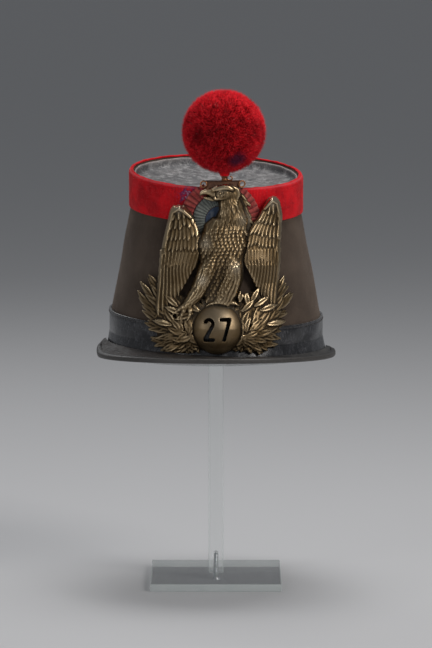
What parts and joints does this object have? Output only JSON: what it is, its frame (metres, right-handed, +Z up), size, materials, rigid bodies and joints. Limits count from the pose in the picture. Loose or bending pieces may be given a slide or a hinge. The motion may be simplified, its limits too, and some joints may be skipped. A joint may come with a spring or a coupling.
{
  "type": "shako hat on an acrylic display stand",
  "caption": "Tapered felt shako with a leather peak and band, red braid, pleated cockade, cast brass eagle plate and red wool pompon, on a clear acrylic display stand.",
  "frame": {"origin": "the middle of the underside of the stand's base", "axes": "+Z up along the stand's post, -Y towards the front of the hat, +X to the right as seen from in front"},
  "size_m": [0.2045, 0.2427, 0.4298],
  "materials": {
    "felt": "dark brown wool felt with a short worn nap",
    "crown_leather": "grey-black worn leather, mottled and cracked",
    "red_wool": "ribbed red wool braid with a faded patch",
    "black_leather": "black waxed leather, scuffed",
    "peak_leather": "black leather worn to brown-grey, finely crackled",
    "aged_brass": "cast brass with a dark patina and worn high edges",
    "cockade_red": "pleated dull red wool",
    "cockade_white": "pleated grey-white wool, soiled",
    "cockade_blue": "coarse blue cloth",
    "copper_wire": "reddish brass wire, dull",
    "pompon_wool": "sheared red wool tufts with a purple stain",
    "brown_leather": "brown leather, bare and worn",
    "clear_acrylic": "clear polished acrylic",
    "screw_steel": "plain bright steel"
  },
  "bodies": {
    "root": {"felt_shell": "felt", "crown_top": "crown_leather", "red_braid": "red_wool", "leather_band": "black_leather", "peak": "peak_leather", "peak_binding": "black_leather", "eagle_plate": "aged_brass", "cockade_red_ring": "cockade_red", "cockade_white_ring": "cockade_white", "cockade_centre": "cockade_blue", "cockade_loop_left": "copper_wire", "cockade_loop_right": "copper_wire", "pompon": "pompon_wool", "pompon_stem": "pompon_wool", "pompon_ferrule": "copper_wire", "pompon_pocket": "brown_leather", "stand_base": "clear_acrylic", "stand_post": "clear_acrylic", "stand_disc": "clear_acrylic", "stand_screw": "screw_steel"}
  },
  "joints": []
}
